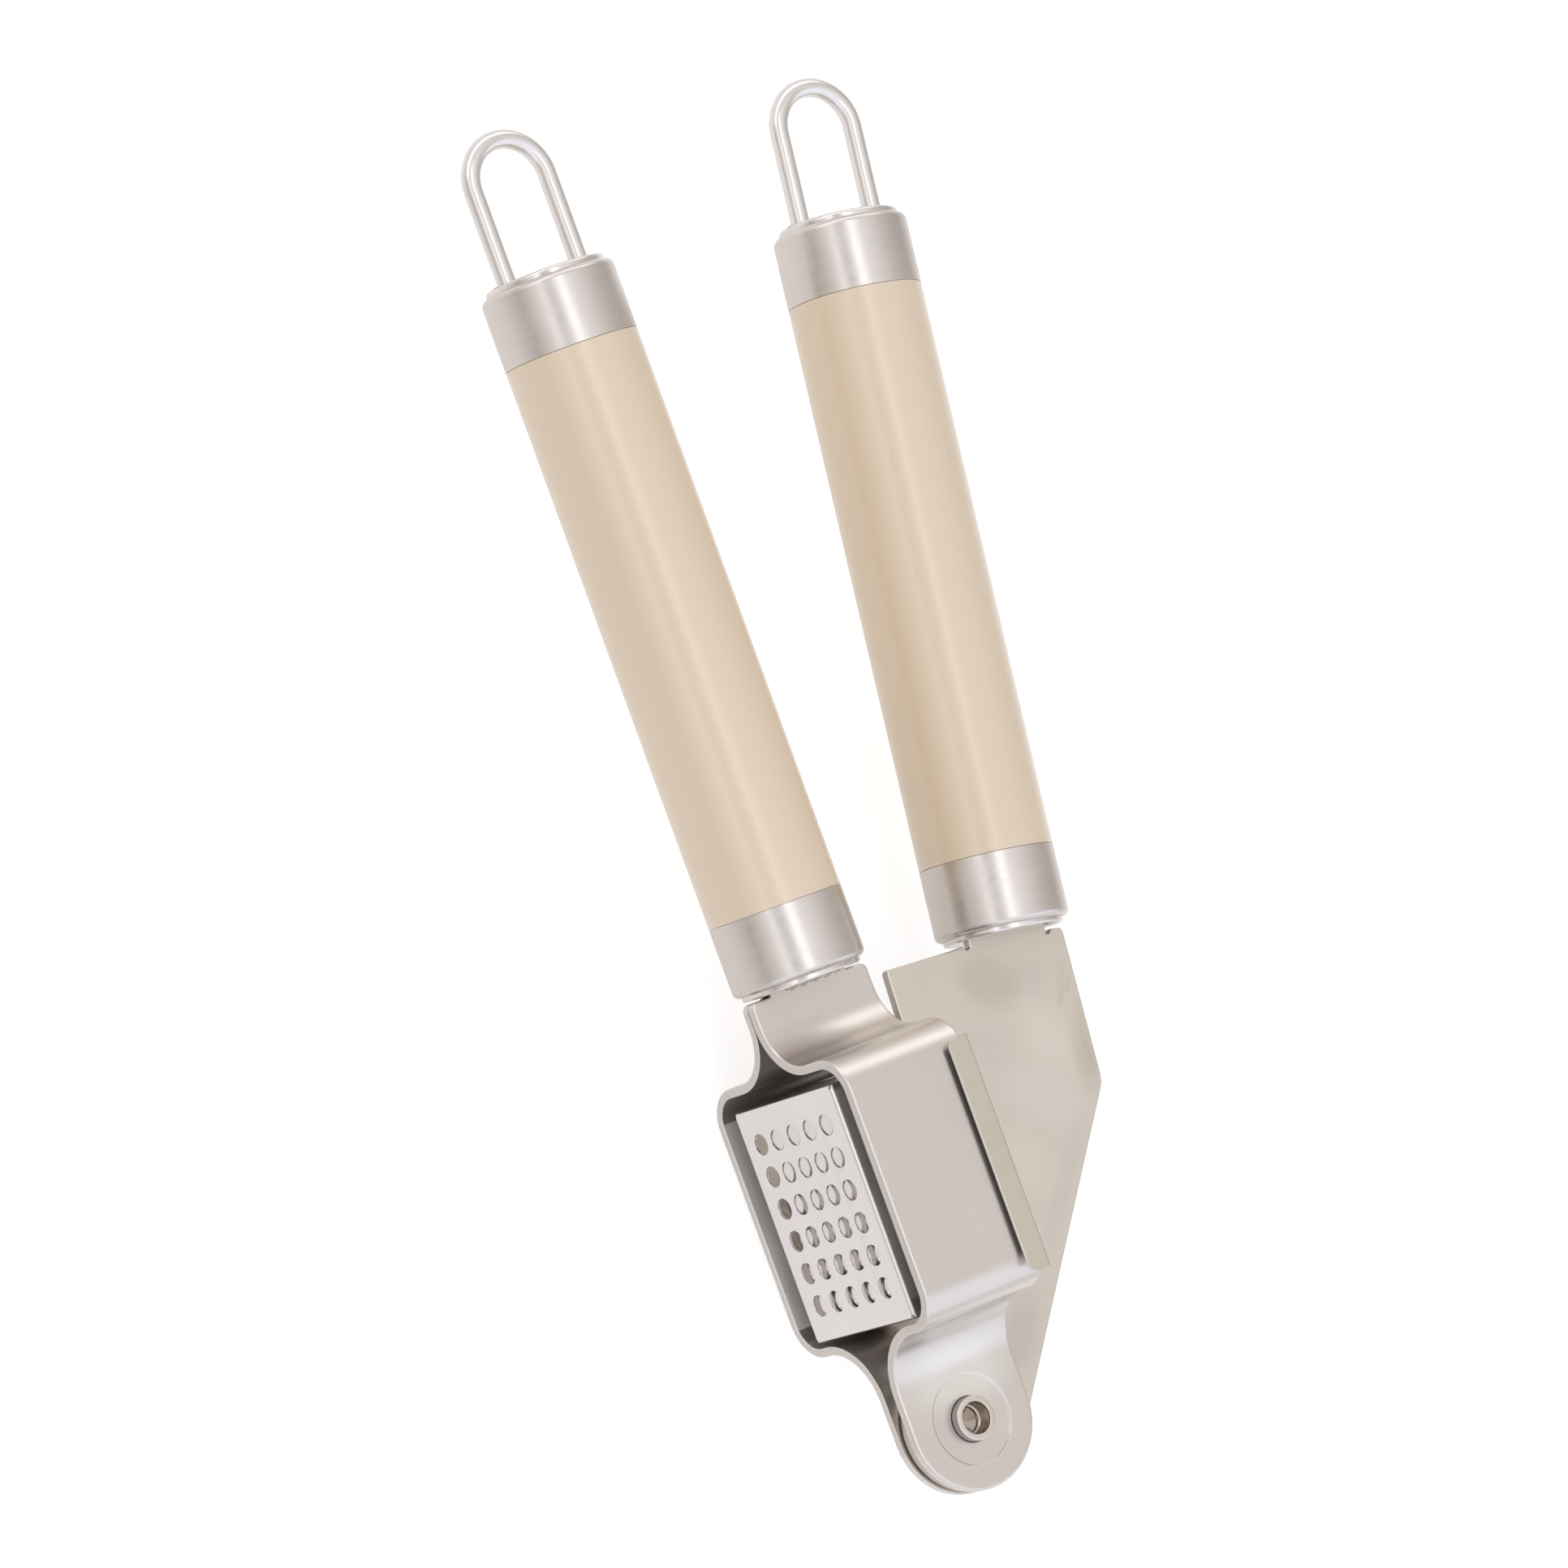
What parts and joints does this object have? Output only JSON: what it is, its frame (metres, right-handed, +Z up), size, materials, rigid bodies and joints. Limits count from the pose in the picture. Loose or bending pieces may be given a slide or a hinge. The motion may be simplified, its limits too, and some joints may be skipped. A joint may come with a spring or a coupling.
{
  "type": "garlic press",
  "caption": "Hand garlic press: two round handles with hanging loops, sheet steel arms on one rivet, a perforated strainer basket and a hinged plunger.",
  "frame": {"origin": "bottom centre of the closed press as it lies on its side: middle of its box in X and Y, at the lowest point of the rear basket lip", "axes": "+X along the lower handle from the hanging loops to the head pivot; +Y from the strainer's perforated face towards the press lever; +Z up, along the pivot rivet"},
  "size_m": [0.1966, 0.069, 0.0356],
  "materials": {
    "plate_steel": "satin ground sheet",
    "lever_steel": "satin ground sheet",
    "strainer_steel": "bright polished sheet",
    "ferrule_steel": "turned satin",
    "wire_steel": "polished wire",
    "rivet_steel": "bright turned",
    "sleeve": "satin beige"
  },
  "bodies": {
    "lower_arm": {"front_side_plate": "plate_steel", "rear_side_plate": "plate_steel", "pivot_rivet": "rivet_steel", "strainer_basket": "strainer_steel", "lower_handle_sleeve": "sleeve", "lower_handle_core": "ferrule_steel", "lower_head_ferrule": "ferrule_steel", "lower_head_disc": "ferrule_steel", "lower_end_ferrule": "ferrule_steel", "lower_end_disc": "ferrule_steel", "lower_hanging_loop": "wire_steel"},
    "press_arm": {"press_lever": "lever_steel", "upper_handle_sleeve": "sleeve", "upper_handle_core": "ferrule_steel", "upper_head_ferrule": "ferrule_steel", "upper_head_disc": "ferrule_steel", "upper_end_ferrule": "ferrule_steel", "upper_end_disc": "ferrule_steel", "upper_hanging_loop": "wire_steel"},
    "plunger": {"plunger_plate": "strainer_steel", "plunger_bracket": "strainer_steel", "plunger_pin": "rivet_steel"}
  },
  "joints": [
    {"name": "lever_hinge", "type": "hinge", "parent": "lower_arm", "child": "press_arm", "pos_m": [0.08845, -0.02448, 0.0178], "axis": [0, 0, -1], "range_deg": [0, 180]},
    {"name": "plunger_hinge", "type": "hinge", "parent": "press_arm", "child": "plunger", "pos_m": [0.05555, -0.02738, 0.0178], "axis": [0, 0, 1], "range_deg": [0, 27]}
  ],
  "couplings": [
    {"joint": "plunger_hinge", "follows": "lever_hinge", "ratio": 0.15}
  ]
}
